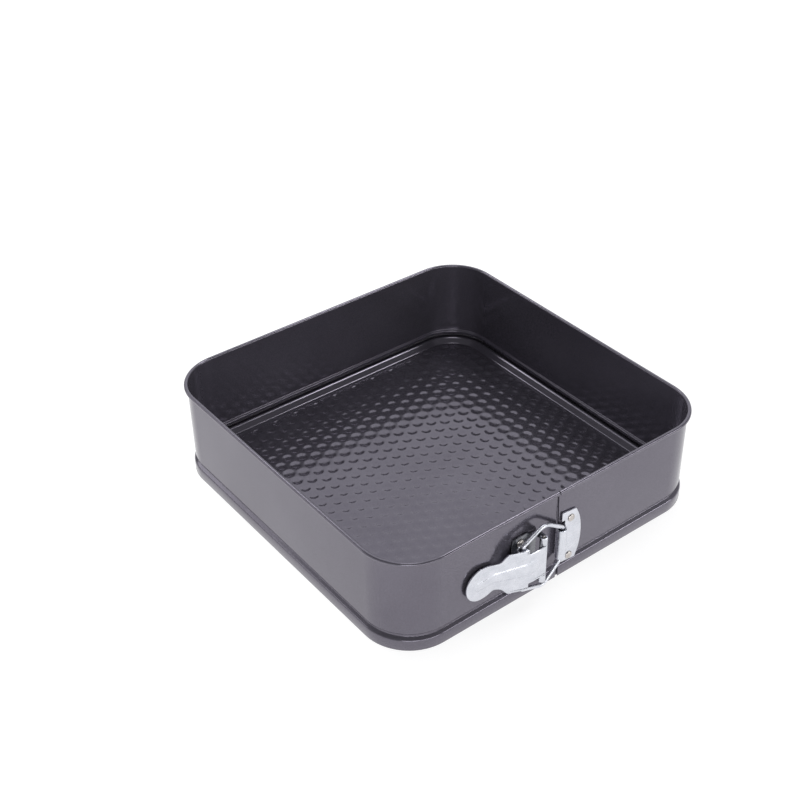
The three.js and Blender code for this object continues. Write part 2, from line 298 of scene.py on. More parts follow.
def band_section():
    """The band's sheet from its foot to the end of the rolled rim."""
    seam_bends = [(WALL_MID, z) for z, _ in SEAM_WIDTHS[:2]]   # where the seam's width starts to change
    wall = rounded([
        (FOOT_MID, 0.3), (FOOT_MID, 7.1), (GROOVE_MID, 9.0), (GROOVE_MID, 10.6), (WALL_MID, 11.8),
        *seam_bends, (WALL_MID, PAN_HEIGHT - RIM_RADIUS)], [0, 1.5, 1.0, 0.8, 1.4, 0, 0, 0], 8)
    curl_radius = RIM_RADIUS - SHEET / 2
    curl = arc(WALL_MID + curl_radius, PAN_HEIGHT - RIM_RADIUS, curl_radius, 180, -112, 22)
    return sheet_outline(wall[:-1] + curl, SHEET)


def band_piece(piece_name, places, seam_side, material):
    """A stretch of the band. seam_side is -1 or 1 where its first or last station is at the seam."""
    section = band_section()
    points = [at_station(place, h, z) for place in places for h, z in section]
    count = len(section)
    if seam_side:
        start = 0 if seam_side > 0 else len(points) - count
        for k in range(start, start + count):
            x, y, z = points[k]
            points[k] = (SEAM_X - SEAM_LEAN * (z - SEAM_UPRIGHT_Z) + seam_side * seam_half(z), y, z)
    return piece_from(piece_name, points, tube_faces(len(places), count), material)


def band_pieces(material):
    front, back = -math.pi / 2, math.pi / 2
    right = [station(SEAM_X, -CORNER_CENTRE, front), *corner(1, -1, -90), *corner(1, 1, 0),
             station(BACK_CUT, CORNER_CENTRE, back)]
    left = [station(-BACK_CUT, CORNER_CENTRE, back), *corner(-1, 1, 90), *corner(-1, -1, 180),
            station(SEAM_X, -CORNER_CENTRE, front)]
    steps = 24
    middle = [station(BACK_CUT - 2 * BACK_CUT * k / steps, CORNER_CENTRE, back) for k in range(steps + 1)]
    for side, places, seam_side in (("right", right, 1), ("left", left, -1)):
        piece = band_piece(f"band_{side}_section", places, seam_side, material)
        add_piece(piece, f"band_{side}", "nonstick_coating", f"side_band_{side}")
    back_piece = band_piece("band_back_section", middle, 0, material)
    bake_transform(back_piece)


# ================= Base plate =================
def smooth_step(value, low, high):
    share = min(max((value - low) / (high - low), 0), 1)
    return share * share * (3 - 2 * share)


def dimple_height(radius):
    """Depth below the floor at a distance from a dimple's centre: a flat bottom and a soft wall."""
    return DIMPLE_DEPTH * (smooth_step(radius, DIMPLE_FLAT, DIMPLE_RADIUS) - 1)


def square_half(x, y):
    """Half-width of the rounded square, centred on the pan, that passes through a point."""
    x, y = abs(x), abs(y)
    if x > CORNER_CENTRE and y > CORNER_CENTRE:
        return CORNER_CENTRE + math.hypot(x - CORNER_CENTRE, y - CORNER_CENTRE)
    return max(x, y)


def steps_within(start, step, reach):
    """The whole numbers k for which start + k * step lies within reach of zero."""
    return range(math.ceil((-reach - start) / step), math.floor((reach - start) / step) + 1)


def dimple_centres():
    reach = FIELD_HALF + DIMPLE_PITCH
    x0, y0 = DIMPLE_SHIFT
    for i in steps_within(x0, DIMPLE_COLUMN, reach):
        y1 = y0 + (i % 2) * DIMPLE_PITCH / 2
        for j in steps_within(y1, DIMPLE_PITCH, reach):
            x, y = x0 + i * DIMPLE_COLUMN, y1 + j * DIMPLE_PITCH
            if square_half(x, y) < FIELD_HALF + DIMPLE_PITCH * 0.6:
                yield x, y


def dimple_cell(splits):
    """Outline of the hexagon round one dimple, about its centre, each side split into equal parts."""
    half = DIMPLE_PITCH / 2
    near = (DIMPLE_COLUMN ** 2 - half ** 2) / (2 * DIMPLE_COLUMN)
    far = (DIMPLE_COLUMN ** 2 + half ** 2) / (2 * DIMPLE_COLUMN)
    corners = [(far, 0), (near, half), (-near, half), (-far, 0), (-near, -half), (near, -half)]
    sides = zip(corners, corners[1:] + corners[:1])
    return [Vector(a).lerp(Vector(b), k / splits) for a, b in sides for k in range(splits)]


def field_cells(level, splits, rings):
    """Points and faces of all dimples at a level, and the points of those near the field's edge."""
    cell = dimple_cell(splits)
    ways = [p.normalized() for p in cell]
    count = len(cell)
    points, faces, near_edge = [], [], []
    for x, y in dimple_centres():
        start = len(points)
        points.append((x, y, level + dimple_height(0)))
        for radius in rings:
            height = level + dimple_height(radius)
            points += [(x + way.x * radius, y + way.y * radius, height) for way in ways]
        points += [(x + p.x, y + p.y, level) for p in cell]
        for k in range(count):
            after = (k + 1) % count
            faces.append((start, start + 1 + k, start + 1 + after))
            for ring in range(len(rings)):
                inner = start + 1 + ring * count
                faces.append((inner + k, inner + count + k, inner + count + after, inner + after))
        if square_half(x, y) > FIELD_HALF - DIMPLE_PITCH:
            near_edge += range(start, len(points))
    return points, faces, near_edge


def cut_edge(field, edge_verts, turn):
    """Cut the field along the tangent of the rounded square at an angle in degrees."""
    angle = math.radians(turn)
    nx, ny = round(math.cos(angle), 9), round(math.sin(angle), 9)
    out = FIELD_HALF - CORNER_CENTRE
    cx = math.copysign(CORNER_CENTRE, nx) if nx else 0
    cy = math.copysign(CORNER_CENTRE, ny) if ny else 0
    place, normal = Vector((cx + nx * out, cy + ny * out, 0)), Vector((nx, ny, 0))
    far = [v for v in edge_verts if (v.co - place).dot(normal) > -0.7 * DIMPLE_PITCH]
    near = dict.fromkeys(f for v in far for f in v.link_faces)
    edges = dict.fromkeys(e for f in near for e in f.edges)
    verts = dict.fromkeys(v for f in near for v in f.verts)
    cut = bmesh.ops.bisect_plane(
        field, geom=[*verts, *edges, *near], dist=1e-5, plane_co=place, plane_no=normal, clear_outer=True)
    kept = [v for v in edge_verts if v.is_valid]
    return kept + [g for g in cut["geom_cut"] if isinstance(g, bmesh.types.BMVert)]


def field_mesh(level, splits, rings):
    """The dimpled field at a level, cut to the rounded square, as a bmesh in millimetres."""
    points, faces, near_edge = field_cells(level, splits, rings)
    field = bmesh.new()
    made = [field.verts.new(point) for point in points]
    for face in faces:
        field.faces.new([made[k] for k in face])
    edge_verts = [made[k] for k in near_edge]
    for turn in range(0, 360, 5):
        edge_verts = cut_edge(field, edge_verts, turn)
    bmesh.ops.remove_doubles(field, verts=field.verts[:], dist=0.01)
    return field


def boundary_loop(work):
    """The vertices round the mesh's open edge, in order."""
    start = min((e for e in work.edges if e.is_boundary), key=lambda e: e.verts[0].co[:2])
    loop, edge = [start.verts[0]], start
    while True:
        after = edge.other_vert(loop[-1])
        if after == loop[0]:
            return loop
        loop.append(after)
        edge = next(e for e in after.link_edges if e.is_boundary and e != edge)


def edge_station(point):
    """The station whose normal passes through a point of the field's edge."""
    x, y = point.x, point.y
    if abs(x) > abs(y) and abs(y) <= CORNER_CENTRE:
        return math.copysign(CORNER_CENTRE, x), y, math.copysign(1, x), 0.0
    if abs(y) > abs(x) and abs(x) <= CORNER_CENTRE:
        return x, math.copysign(CORNER_CENTRE, y), 0.0, math.copysign(1, y)
    cx, cy = math.copysign(CORNER_CENTRE, x), math.copysign(CORNER_CENTRE, y)
    length = math.hypot(x - cx, y - cy)
    return cx, cy, (x - cx) / length, (y - cy) / length


def base_rim():
    """The base sheet out from the dimpled field, as an open outline: crease, raised lip, flange and hem."""
    flange, floor = BASE_EDGE - SHEET / 2, FLOOR_Z - SHEET / 2
    line = rounded([
        (FIELD_HALF + FIELD_EDGE, floor), (111.3, floor), (115.2, 6.6), (flange, 5.9),
        (flange, SHEET / 2), (BASE_EDGE - 2.9, SHEET / 2)], [0, 1.8, 3.6, 1.0, 0.5, 0], 8)
    top, under = offset(line, SHEET / 2, False), offset(line, -SHEET / 2, False)
    return top + under[::-1]


def edge_ring(work, stations, loop, share, rise):
    """A ring part of the way up the step from the field's cut edge to the plain floor round it."""
    ring = []
    for place, vert in zip(stations, loop):
        x, y, _ = at_station(place, FIELD_HALF + share * FIELD_EDGE, 0)
        ring.append(work.verts.new((x, y - PAN_Y, vert.co.z + rise * (FLOOR_Z - vert.co.z))))
    return ring


def rim_ring(work, stations, h, z):
    ring = [work.verts.new(at_station(place, h, z)) for place in stations]
    for vert in ring:
        vert.co.y -= PAN_Y
    return ring


def add_mesh(work, more):
    """Copy one bmesh into another, and return the copied part's open edges."""
    spare = bpy.data.meshes.new("spare")
    more.to_mesh(spare)
    more.free()
    known = set(work.verts)
    work.from_mesh(spare)
    bpy.data.meshes.remove(spare)
    return [e for e in work.edges if e.is_boundary and e.verts[0] not in known]


def base_plate(material):
    work = field_mesh(FLOOR_Z, 3, TOP_RINGS)
    under = field_mesh(FLOOR_Z - SHEET, 2, UNDER_RINGS)
    top_loop = boundary_loop(work)
    stations = [edge_station(vert.co) for vert in top_loop]
    rings = [top_loop]
    rings += [edge_ring(work, stations, top_loop, *step) for step in FIELD_STEP]
    rings += [rim_ring(work, stations, h, z) for h, z in base_rim()]
    for first, last in zip(rings, rings[1:]):
        ring_faces(work, first, last)
    inner_edges = ring_edges(work, rings[-1])
    bmesh.ops.bridge_loops(work, edges=inner_edges + add_mesh(work, under))
    bmesh.ops.recalc_face_normals(work, faces=work.faces[:])
    to_frame = Matrix.Scale(MM, 4) @ Matrix.Translation((0, PAN_Y, 0))
    bmesh.ops.transform(work, matrix=to_frame, verts=work.verts[:])
    mesh = bpy.data.meshes.new("base_plate_dimpled")
    work.to_mesh(mesh)
    work.free()
    piece = finish_mesh("base_plate_dimpled", mesh, material, 50)
    add_piece(piece, "base", "nonstick_coating", "base_plate")


# ================= Latch =================
def on_latch(x, y, z):
    """A point given in the latch's own axes, in the frame's millimetres."""
    return x, PAN_Y - WALL_HALF - z, LATCH_Z + y


class Path:
    """The middle line of a bent sheet, in plan, with places found by their length along it."""

    def __init__(self, points):
        self.points = [Vector(p) for p in points]
        self.normals = edge_normals(points, False)
        self.lengths = [0.0]
        for a, b in zip(self.points, self.points[1:]):
            self.lengths.append(self.lengths[-1] + (b - a).length)

    def at(self, s, out):
        """The point at length s along the line and a distance out from it."""
        k = 0
        while k < len(self.lengths) - 2 and self.lengths[k + 1] < s:
            k += 1
        share = (s - self.lengths[k]) / (self.lengths[k + 1] - self.lengths[k])
        normal = self.normals[k].lerp(self.normals[k + 1], min(max(share, 0), 1))
        return self.points[k].lerp(self.points[k + 1], share) + normal.normalized() * out

    def length_to(self, x):
        """The length at which a stretch that runs along +x passes x."""
        for k in range(len(self.points) - 1):
            a, b = self.points[k].x, self.points[k + 1].x
            if a <= x <= b:
                return self.lengths[k] + (x - a) / (b - a) * (self.lengths[k + 1] - self.lengths[k])
        return self.lengths[-1]


def ring_faces(work, first, last):
    """Quads between two rings of vertices."""
    for k in range(len(first)):
        after = (k + 1) % len(first)
        work.faces.new((first[k], first[after], last[after], last[k]))


def ring_edges(work, ring):
    """The edges round a ring of vertices, made where they are missing."""
    pairs = ((ring[k], ring[(k + 1) % len(ring)]) for k in range(len(ring)))
    return [work.edges.get(pair) or work.edges.new(pair) for pair in pairs]


def sheet_face(work, outline, side, thickness, contours, holes, insets):
    """One face of a flat sheet part and half of its edges, which are rounded towards that face."""
    bend = 0.28 * thickness
    high, corner_cut = thickness / 2, bend * 0.3
    edge = [(0, 0), (0, high - bend), (corner_cut, high - corner_cut), (bend, high)]
    inside = [(inset, high) for inset in insets]
    open_edges = []
    for loop, steps in [(outline, edge + inside), *((hole, edge) for hole in holes)]:
        rings = []
        for inset, height in steps:
            rings.append([work.verts.new((x, y, side * height)) for x, y in offset(loop, inset)])
        for first, last in zip(rings, rings[1:]):
            ring_faces(work, first, last)
        open_edges += ring_edges(work, rings[-1])
    up = Vector((0, 0, 1))
    if contours:
        rings = [[work.verts.new((x, y, side * high)) for x, y in loop] for loop in contours]
        for first, last in zip(rings, rings[1:]):
            ring_faces(work, first, last)
        open_edges += ring_edges(work, rings[0])
        bmesh.ops.triangle_fill(work, edges=ring_edges(work, rings[-1]), use_beauty=True, normal=up)
    bmesh.ops.triangle_fill(work, edges=open_edges, use_beauty=True, normal=up)


def bent_sheet(outline, path, place, thickness=PLATE, lift=None, contours=(), holes=(), insets=()):
    """A sheet part cut to an outline given in (length, width) and bent along a path.

    lift(length, width) raises the sheet, as a press does; contours are closed loops, outermost first,
    that follow its raised shape; insets are further loops inside the outline. Returns points and faces.
    """
    work = bmesh.new()
    for side in (1, -1):
        sheet_face(work, outline, side, thickness, contours, holes, insets)
    bmesh.ops.remove_doubles(work, verts=work.verts[:], dist=1e-4)
    low, high = min(v.co.x for v in work.verts), max(v.co.x for v in work.verts)
    for s in path.lengths:
        if low < s < high:
            bmesh.ops.bisect_plane(work, geom=[*work.verts, *work.edges, *work.faces], dist=1e-3,
                                   plane_co=(s, 0, 0), plane_no=(1, 0, 0))
    work.verts.index_update()
    points = []
    for vert in work.verts:
        s, width, height = vert.co
        spot = path.at(s, height + (lift(s, width) if lift else 0))
        points.append(place(spot.x, width, spot.y))
    faces = [tuple(v.index for v in face.verts) for face in work.faces]
    work.free()
    return points, faces


def counter(points):
    """The closed outline turned anticlockwise, so that its inside is on the left."""
    area = sum(a[0] * b[1] - b[0] * a[1] for a, b in zip(points, points[1:] + points[:1]))
    return points if area > 0 else points[::-1]


def mirrored(half):
    """The closed outline whose half above the middle is given."""
    return counter(half + [(x, -y) for x, y in reversed(half)])


def lathe(profile, segments, place):
    """A round piece from its profile of (radius, along); place puts a point (a, b, along) on the latch."""
    points = []
    for radius, along in profile:
        for k in range(segments):
            angle = 2 * math.pi * k / segments
            points.append(place(radius * math.cos(angle), radius * math.sin(angle), along))
    return points, tube_faces(len(profile), segments)


def join(*parts):
    """Several (points, faces) as one."""
    points, faces = [], []
    for more_points, more_faces in parts:
        start = len(points)
        points += more_points
        faces += [tuple(k + start for k in face) for face in more_faces]
    return points, faces


def lever_path():
    """The lever's sheet in plan: the flat handle, the rise to the front, and the roll round the pin."""
    line = rounded([(-78, 2.1), (-54, 2.1), (-36.6, FRONT - 0.55), (-31, FRONT)], [0, 5, 9, 0], 8)
    return Path(line + arc(*PIVOT, ROLL_MID, 90, -190, 26))


def lever_outline(path):
    """The lever's edge: a round handle, a waist, and shoulders beside the knuckle."""
    end = path.lengths[-1]
    upper = arc(*HANDLE_END, HANDLE_RADIUS, 180, 95, 14)
    upper += smooth_line([upper[-1], (-57.6, 10.9), (-53.4, 9.6), (-50, 10.2), (-47.4, 13)], 5)[1:]
    lower = arc(*HANDLE_END, HANDLE_RADIUS, 180, 262, 14)
    lower += smooth_line([lower[-1], (-59, -10.4), (-54, -9.0), (-50, -9.8), (-47.4, -12.6)], 5)[1:]
    shoulder = [(-45.9, EAR_TOP), (-34, EAR_TOP), (-34, KNUCKLE_HALF)]

    def half(curve, sign):
        line = [(path.length_to(x), y) for x, y in curve[1:]]
        line += [(path.length_to(x), sign * y) for x, y in shoulder]
        line += [(end, sign * KNUCKLE_HALF), (end, 0)]
        return rounded(line, [0] * (len(curve) - 1) + [1.2, 0.4, 0.5, 0.4, 0], 4)[:-1]

    tip_x, tip_y = upper[0]
    return counter([(path.length_to(tip_x), tip_y)] + half(upper, 1) + half(lower, -1)[::-1])


def spine_middle(x):
    return 0.9 * smooth_step(x, -60, -30)


def spine_half(x):
    """Half the width of the lever's pressed spine, which is broader towards the pin."""
    return 2.7 + 1.5 * smooth_step(x, -62, -30)


def spine_loop(path, grow):
    """The spine's outline, moved outwards by a distance."""
    steps = 16
    xs = [SPINE_START + (SPINE_END - SPINE_START) * k / steps for k in range(steps + 1)]
    loop = [(x, spine_middle(x) - spine_half(x) - grow) for x in xs]
    loop += arc(SPINE_END, spine_middle(SPINE_END), spine_half(SPINE_END) + grow, -75, 75, 8)
    loop += [(x, spine_middle(x) + spine_half(x) + grow) for x in reversed(xs)]
    loop += arc(SPINE_START, spine_middle(SPINE_START), spine_half(SPINE_START) + grow, 105, 255, 8)
    return counter([(path.length_to(x), y) for x, y in loop])


def spine_lift(path):
    """The function that says how far the press has raised the lever's sheet at a place."""
    first, last = path.length_to(SPINE_START), path.length_to(SPINE_END)

    def lift(s, y):
        x = path.at(min(max(s, first), last), 0).x
        beyond = max(first - s, s - last, 0)
        distance = math.hypot(beyond, y - spine_middle(x)) - spine_half(x)
        return SPINE_RISE * (1 - smooth_step(distance, -0.8, 0.8))

    return lift


def lever_ear(side):
    """The ear that is folded back from the lever's shoulder, with the hole for the bail's end."""
    middle = side * (EAR_TOP - PLATE / 2)
    hole_x, hole_z = EAR_HOLE[0] - 1.0, EAR_HOLE[1]
    depth = hole_z - 3
    shape = arc(hole_x, hole_z, 3.1, 0, -180, 14) + [(-40.3, 6.9), (-36.5, 8.4), (-34.2, 8.9)]
    tab = counter([(z - depth, x) for x, z in shape])
    hole = counter([(z - depth, x) for x, z in arc(hole_x, hole_z, 2.15, 0, 345, 23)])
    path = Path([(depth, middle), (FRONT, middle)])
    return bent_sheet(tab, path, lambda z, x, y: on_latch(x, y, z), PLATE - 0.05, holes=[hole[::-1]])


def lever_parts():
    path = lever_path()
    contours = [spine_loop(path, grow) for grow in SPINE_CONTOURS]
    body = bent_sheet(lever_outline(path), path, on_latch, lift=spine_lift(path), contours=contours,
                      insets=(1.6,))
    return join(body, lever_ear(1), lever_ear(-1))


def bracket_parts():
    """The bracket: a plate on the band whose two knuckles roll round the pin."""
    leg = PIVOT[0] + ROLL_MID
    line = rounded([(-42, PLATE_MID), (leg, PLATE_MID), (leg, PIVOT[1])], [0, 1.2, 0], 6)
    path = Path(line[:-1] + arc(*PIVOT, ROLL_MID, 0, 262, 26))
    end, edge = path.lengths[-1], path.length_to(leg - 1.6)
    inner, outer = BRACKET_KNUCKLE
    flat = [(-40.4, 0), (-40.3, 12.5), (-39.2, 18.3)]
    flat += [(-36, BRACKET_HALF), (-29.4, BRACKET_HALF), (-26, outer)]
    half = [(path.length_to(x), y) for x, y in flat]
    half += [(end, outer), (end, inner), (edge, inner), (edge, 0)]
    half = rounded(half, [0, 1.2, 0.9, 1.2, 0.8, 0.8, 0.4, 0.4, 1.0, 0], 4)[1:-1]
    return bent_sheet(mirrored(half), path, on_latch)


def catch_plate():
    """The catch's flat plate, notched on its left where the hook rises out of it."""
    left, right = -2.2, 14
    edge = smooth_line([(8.8, 16.8), (12.2, 8.4), (13.5, -1.9), (12.7, -12.2), (9.9, -20.6)], 5)
    notch_x, notch_top, notch_low = 0.3, 11.9, -13.4
    corners = [(notch_x, notch_low), (notch_x, notch_top), (left, notch_top), (left, 18.1)]
    corners += edge + [(-1.3, -19.3), (-1.3, notch_low)]
    radii = [0.4, 0.4, 0.5, 0.5, 0.8] + [0] * (len(edge) - 2) + [0.8, 0.6, 0.5]
    outline = counter(rounded([(x - left, y) for x, y in corners], radii, 4, True))
    return bent_sheet(outline, Path([(left, PLATE_MID), (right, PLATE_MID)]), on_latch)


def catch_hook():
    """The hook that holds the bail's bar, and the sheet that runs from it on to the plate."""
    roll = WIRE_RADIUS + 0.75 + PLATE / 2
    line = arc(HOOK[0] - 0.45, HOOK[1], roll, 268, 42, 26)
    line += rounded([line[-1], (0.1, PLATE_MID), (2.5, PLATE_MID)], [0, 1.1, 0], 6)[1:]
    path = Path(line)
    end = path.lengths[-1]
    corners = [(0.02, HOOK_LOW), (end, HOOK_LOW), (end, HOOK_TOP), (0.02, HOOK_TOP)]
    outline = counter(rounded(corners, [0.4, 0, 0, 0.4], 4, True))
    return bent_sheet(outline, path, on_latch, PLATE - 0.05)


def pin_parts():
    half, chamfer = BRACKET_KNUCKLE[1] + 0.6, 0.3
    profile = [(0.02, -half - 0.05), (PIN_RADIUS - chamfer, -half), (PIN_RADIUS, -half + chamfer),
               (PIN_RADIUS, half - chamfer), (PIN_RADIUS - chamfer, half), (0.02, half + 0.05)]
    x, z = PIVOT
    return lathe(profile, 24, lambda a, b, along: on_latch(x + a, along, z + b))


def rivet_parts(x, y):
    """A rivet with a low dome outside and a pressed tail inside the band."""
    seat, back = PLATE_MID + PLATE / 2, -SHEET
    turns = [math.radians(angle) for angle in range(0, 86, 12)]
    dome = [(2.5 * math.cos(turn), seat + 0.25 + 0.95 * math.sin(turn)) for turn in turns]
    profile = [(0.02, back - 0.75), (1.3, back - 0.78), (1.9, back - 0.6), (2.1, back - 0.25), (2.05, back),
               (1.5, back), (1.5, seat), (2.4, seat), *dome, (0.02, seat + 1.2)]
    return lathe(profile, 32, lambda a, b, out: on_latch(x + a, y + b, out))


def tube(line, radius, segments):
    """A round wire along a line, with domed ends."""
    points = [Vector(p) for p in line]
    tangents = [(points[min(k + 1, len(points) - 1)] - points[max(k - 1, 0)]).normalized()
                for k in range(len(points))]
    normal = tangents[0].orthogonal().normalized()
    rings = []
    for point, tangent in zip(points, tangents):
        normal = (normal - tangent * normal.dot(tangent)).normalized()
        rings.append((point, tangent, normal.copy(), 1.0))
    domes = [(0.35, 0.94), (0.7, 0.71), (0.94, 0.35), (1.0, 0.03)]
    point, tangent, side, _ = rings[0]
    first = [(point - tangent * radius * out, tangent, side, size) for out, size in reversed(domes)]
    point, tangent, side, _ = rings[-1]
    last = [(point + tangent * radius * out, tangent, side, size) for out, size in domes]
    rings = first + rings + last
    ring_points = []
    for point, tangent, side, size in rings:
        other = tangent.cross(side)
        for k in range(segments):
            angle = 2 * math.pi * k / segments
            spot = point + (side * math.cos(angle) + other * math.sin(angle)) * radius * size
            ring_points.append(on_latch(*spot))
    return ring_points, tube_faces(len(rings), segments)


def rounded_3d(points, radii, steps=6):
    """A line in space with each corner turned into a smooth bend."""
    out = [Vector(points[0])]
    for k in range(1, len(points) - 1):
        here = Vector(points[k])
        before, after = Vector(points[k - 1]) - here, Vector(points[k + 1]) - here
        half = before.angle(after) / 2
        reach = min(radii[k] / math.tan(half), before.length * 0.49, after.length * 0.49)
        a, c = here + before.normalized() * reach, here + after.normalized() * reach
        for i in range(steps + 1):
            t = i / steps
            out.append(a.lerp(here, t).lerp(here.lerp(c, t), t))
    return out + [Vector(points[-1])]


def bail_parts():
    """The bail: a bar in the hook, arms over the knuckles, and ends turned down into the lever's ears."""
    end_x, end_z = EAR_HOLE
    bar_x, bar_z = HOOK
    beside = EAR_TOP + 0.3 + WIRE_RADIUS

    def out_at(x):
        return bar_z + (end_z - bar_z) * (bar_x - x) / (bar_x - end_x)

    def arm(sign, bend, entry):
        x, y = bend
        return [(end_x, sign * (EAR_TOP - 2.4), end_z), (end_x, sign * (beside + 0.3), end_z),
                (x, y, out_at(x)), (bar_x, entry, bar_z)]

    upper, lower = arm(1, (-19.6, 22.6), 10.9), arm(-1, (-18.2, -24.2), -12.7)
    whole = upper + lower[::-1]
    return tube(rounded_3d(whole, [0, 1.5, 10, 1.6, 1.6, 6, 1.5, 0]), WIRE_RADIUS, 20)


def latch_pieces(zinc, shaded_zinc, steel):
    def made(piece_name, parts, material, body, slot, *nodes):
        add_piece(piece_from(piece_name, *parts, material), body, slot, *nodes)

    catch = join(catch_plate(), catch_hook())
    made("lever_stamped", lever_parts(), zinc, "lever", "zinc_plate", "latch_lever")
    made("bracket_stamped", bracket_parts(), shaded_zinc, "band_left", "zinc_plate", "latch_bracket")
    made("catch_stamped", catch, zinc, "band_right", "zinc_plate", "catch_plate")
    made("bail_formed", bail_parts(), zinc, "bail", "zinc_plate", "bail_wire")
    made("hinge_pin", pin_parts(), steel, "band_left", "rivet_steel", "lever_hinge_pin")
    rows = (("bracket", "band_left", BRACKET_RIVETS), ("catch", "band_right", CATCH_RIVETS))
    for part, body, rivets in rows:
        for label, place in zip(("upper", "lower"), rivets):
            made(f"{part}_rivet_head_{label}", rivet_parts(*place), steel, body, "rivet_steel",
                 f"{part}_rivet_{label}")


# ================= Materials =================
class Nodes:
    """A small helper that adds and links the nodes of a material or a world."""

    def __init__(self, owner, shader="Principled BSDF", coordinates="Object"):
        self.owner = owner
        owner.use_nodes = True
        self.tree = owner.node_tree
        self.shader = self.tree.nodes[shader]
        self.place = self.add("ShaderNodeTexCoord").outputs[coordinates]

    def add(self, kind, **settings):
        node = self.tree.nodes.new(kind)
        for key, value in settings.items():
            setattr(node, key, value)
        return node

    def link(self, source, target):
        self.tree.links.new(source, target)

    def noise(self, scale, detail=2.0, roughness=0.5, stretch=None):
        node = self.add("ShaderNodeTexNoise")
        node.inputs["Scale"].default_value = scale
        node.inputs["Detail"].default_value = detail
        node.inputs["Roughness"].default_value = roughness
        place = self.place
        if stretch:
            mapping = self.add("ShaderNodeMapping")
            mapping.inputs["Scale"].default_value = stretch
            self.link(place, mapping.inputs["Vector"])
            place = mapping.outputs["Vector"]
        self.link(place, node.inputs["Vector"])
        return node.outputs["Fac"]

    def ramp(self, source, *stops):
        node = self.add("ShaderNodeValToRGB")
        ramp = node.color_ramp
        while len(ramp.elements) < len(stops):
            ramp.elements.new(0.5)
        for element, (position, value) in zip(ramp.elements, stops):
            element.position = position
            element.color = (*value, 1) if isinstance(value, tuple) else (value, value, value, 1)
        self.link(source, node.inputs["Fac"])
        return node.outputs["Color"]

    def mix(self, factor, first, last, blend_type="MIX"):
        node = self.add("ShaderNodeMix", data_type="RGBA", blend_type=blend_type)
        for source, target in ((factor, 0), (first, 6), (last, 7)):
            if hasattr(source, "links"):
                self.link(source, node.inputs[target])
            else:
                node.inputs[target].default_value = source
        return node.outputs[2]

    def along(self, direction):
        """How far the shaded point lies in a direction."""
        node = self.add("ShaderNodeVectorMath", operation="DOT_PRODUCT")
        node.inputs[1].default_value = direction
        self.link(self.place, node.inputs[0])
        return node.outputs["Value"]

    def fade(self, source, span, values):
        """A smooth change from one value to the other as the source crosses the span."""
        node = self.add("ShaderNodeMapRange", interpolation_type="SMOOTHSTEP")
        for key, value in zip(("From Min", "From Max", "To Min", "To Max"), (*span, *values)):
            node.inputs[key].default_value = value
        self.link(source, node.inputs["Value"])
        return node.outputs["Result"]

    def bump(self, height, strength, distance, normal=None):
        node = self.add("ShaderNodeBump")
        node.inputs["Strength"].default_value = strength
        node.inputs["Distance"].default_value = distance
        self.link(height, node.inputs["Height"])
        if normal:
            self.link(normal, node.inputs["Normal"])
        return node.outputs["Normal"]


def coating_material():
    """Satin dark grey non-stick coating with a metallic pigment: fine flake and a soft orange peel."""
    n = Nodes(bpy.data.materials.new("nonstick_coating"))
    cloud = n.noise(22, 3)
    flake = n.noise(2600, 1, 0.6)
    base = n.ramp(cloud, (0.3, (0.143, 0.132, 0.163)), (0.7, (0.162, 0.151, 0.184)))
    flakes = n.ramp(flake, (0.42, 0.86), (0.62, 1.12))
    n.link(n.mix(1.0, base, flakes, "MULTIPLY"), n.shader.inputs["Base Color"])
    n.link(n.ramp(n.noise(90, 3), (0.3, 0.14), (0.75, 0.19)), n.shader.inputs["Roughness"])
    n.shader.inputs["Metallic"].default_value = 0.68
    peel = n.bump(n.noise(420, 2), 0.06, 0.0001)
    n.link(n.bump(n.noise(1900, 1), 0.04, 0.00004, peel), n.shader.inputs["Normal"])
    return n.owner


def zinc_material(material_name, shade_reach=None):
    """Zinc plate with cloudy patches, faint rolling marks and small pits.

    Where a reach is given, the colour is darkened up to that distance from the wall: painted shade and
    painted dark reflection, standing in for the shadow under the lever.
    """
    n = Nodes(bpy.data.materials.new(material_name))
    cloud = n.noise(160, 4, 0.6)
    marks = n.noise(300, 3, 0.6, (0.35, 3.0, 3.0))
    base = n.ramp(cloud, (0.3, (0.62, 0.635, 0.69)), (0.72, (0.74, 0.75, 0.805)))
    # painted shade: the base colour is darkened close to the wall, where the lever shades it
    if shade_reach:
        start = (WALL_HALF - PAN_Y + shade_reach) * MM
        painted_shade = n.fade(n.along((0, -1, 0)), (start, start + 2 * MM), (0.3, 0.95))
        base = n.mix(1.0, base, painted_shade, "MULTIPLY")
    n.link(base, n.shader.inputs["Base Color"])
    n.link(n.ramp(marks, (0.3, 0.22), (0.75, 0.36)), n.shader.inputs["Roughness"])
    n.shader.inputs["Metallic"].default_value = 1.0
    surface = n.bump(n.noise(500, 3), 0.12, 0.0001)
    n.link(n.bump(marks, 0.12, 0.00006, surface), n.shader.inputs["Normal"])
    return n.owner


def steel_material():
    """Polished steel of the rivets and pin, with fine tumbling marks."""
    n = Nodes(bpy.data.materials.new("rivet_steel"))
    base = n.ramp(n.noise(420, 3), (0.3, (0.46, 0.425, 0.405)), (0.7, (0.62, 0.585, 0.56)))
    n.link(base, n.shader.inputs["Base Color"])
    n.link(n.ramp(n.noise(900, 2), (0.3, 0.16), (0.7, 0.3)), n.shader.inputs["Roughness"])
    n.shader.inputs["Metallic"].default_value = 1.0
    n.link(n.bump(n.noise(1500, 2), 0.12, 0.00004), n.shader.inputs["Normal"])
    return n.owner


